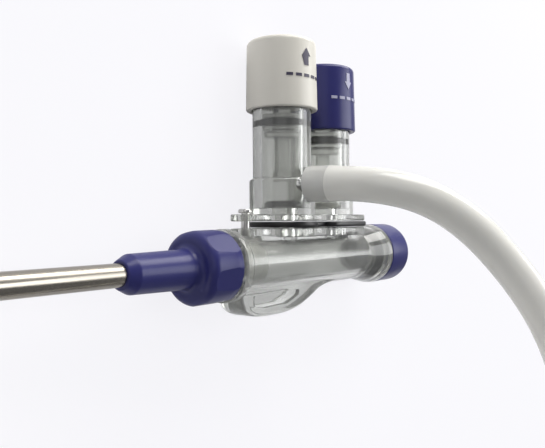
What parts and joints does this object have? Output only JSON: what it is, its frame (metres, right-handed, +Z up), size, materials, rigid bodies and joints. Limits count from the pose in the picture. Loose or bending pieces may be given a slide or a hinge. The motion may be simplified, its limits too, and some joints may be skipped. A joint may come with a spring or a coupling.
{
  "type": "suction cannula",
  "caption": "Suction cannula: a steel tube on a clear trumpet-valve handpiece with two push caps, a finger keel and a suction hose in a tied hank, lying on its side.",
  "frame": {"origin": "centre of the handpiece's and tube's footprint, on the surface it lies on", "axes": "+X runs back along the barrel from the tube's tip, +Y along the valves towards the caps, +Z up, out of the hose port"},
  "size_m": [0.4466, 0.1695, 0.0826],
  "materials": {
    "steel": "fine brushed",
    "pin_steel": "bright",
    "blue": "satin moulded",
    "white": "satin moulded",
    "clear": "clear moulded",
    "cuff": "soft clear",
    "rubber": "matt",
    "hose": "milky translucent",
    "tie": "woven strap"
  },
  "bodies": {
    "handpiece": {"barrel": "clear", "base_gasket": "rubber", "valve_block": "clear", "lug_pin": "pin_steel", "suction_seat": "rubber", "irrigation_seat": "rubber", "suction_spring": "pin_steel", "irrigation_spring": "pin_steel", "hose_cuff": "cuff", "suction_hose": "hose", "hose_hank": "hose", "hose_tail": "hose", "hose_connector": "blue", "hank_tie": "tie"},
    "cannula": {"cannula_tube": "steel", "cannula_hub": "blue", "cannula_ferrule": "white", "ferrule_ring": "rubber"},
    "suction_valve": {"suction_cap": "white", "suction_piston": "clear", "suction_piston_ring": "rubber"},
    "irrigation_valve": {"irrigation_cap": "blue", "irrigation_piston": "clear", "irrigation_piston_ring": "rubber"},
    "rear_knob": {"rear_cap": "blue", "rear_cap_ring": "rubber"}
  },
  "joints": [
    {"name": "suction_press", "type": "slide", "parent": "handpiece", "child": "suction_valve", "axis": [0, -1, 0], "range_m": [0, 0.004], "stiffness_N_per_m": 400, "springref_m": -0.004, "deforming": ["suction_spring"]},
    {"name": "irrigation_press", "type": "slide", "parent": "handpiece", "child": "irrigation_valve", "axis": [0, -1, 0], "range_m": [0, 0.004], "stiffness_N_per_m": 400, "springref_m": -0.004, "deforming": ["irrigation_spring"]},
    {"name": "cannula_turn", "type": "hinge", "parent": "handpiece", "child": "cannula", "pos_m": [0.13725, -0.02295, 0.00975], "axis": [1, 0, 0], "range_deg": [-90, 0]},
    {"name": "rear_cap_turn", "type": "hinge", "parent": "handpiece", "child": "rear_knob", "pos_m": [0.2106, -0.02295, 0.00975], "axis": [1, 0, 0], "range_deg": [0, 90]}
  ]
}
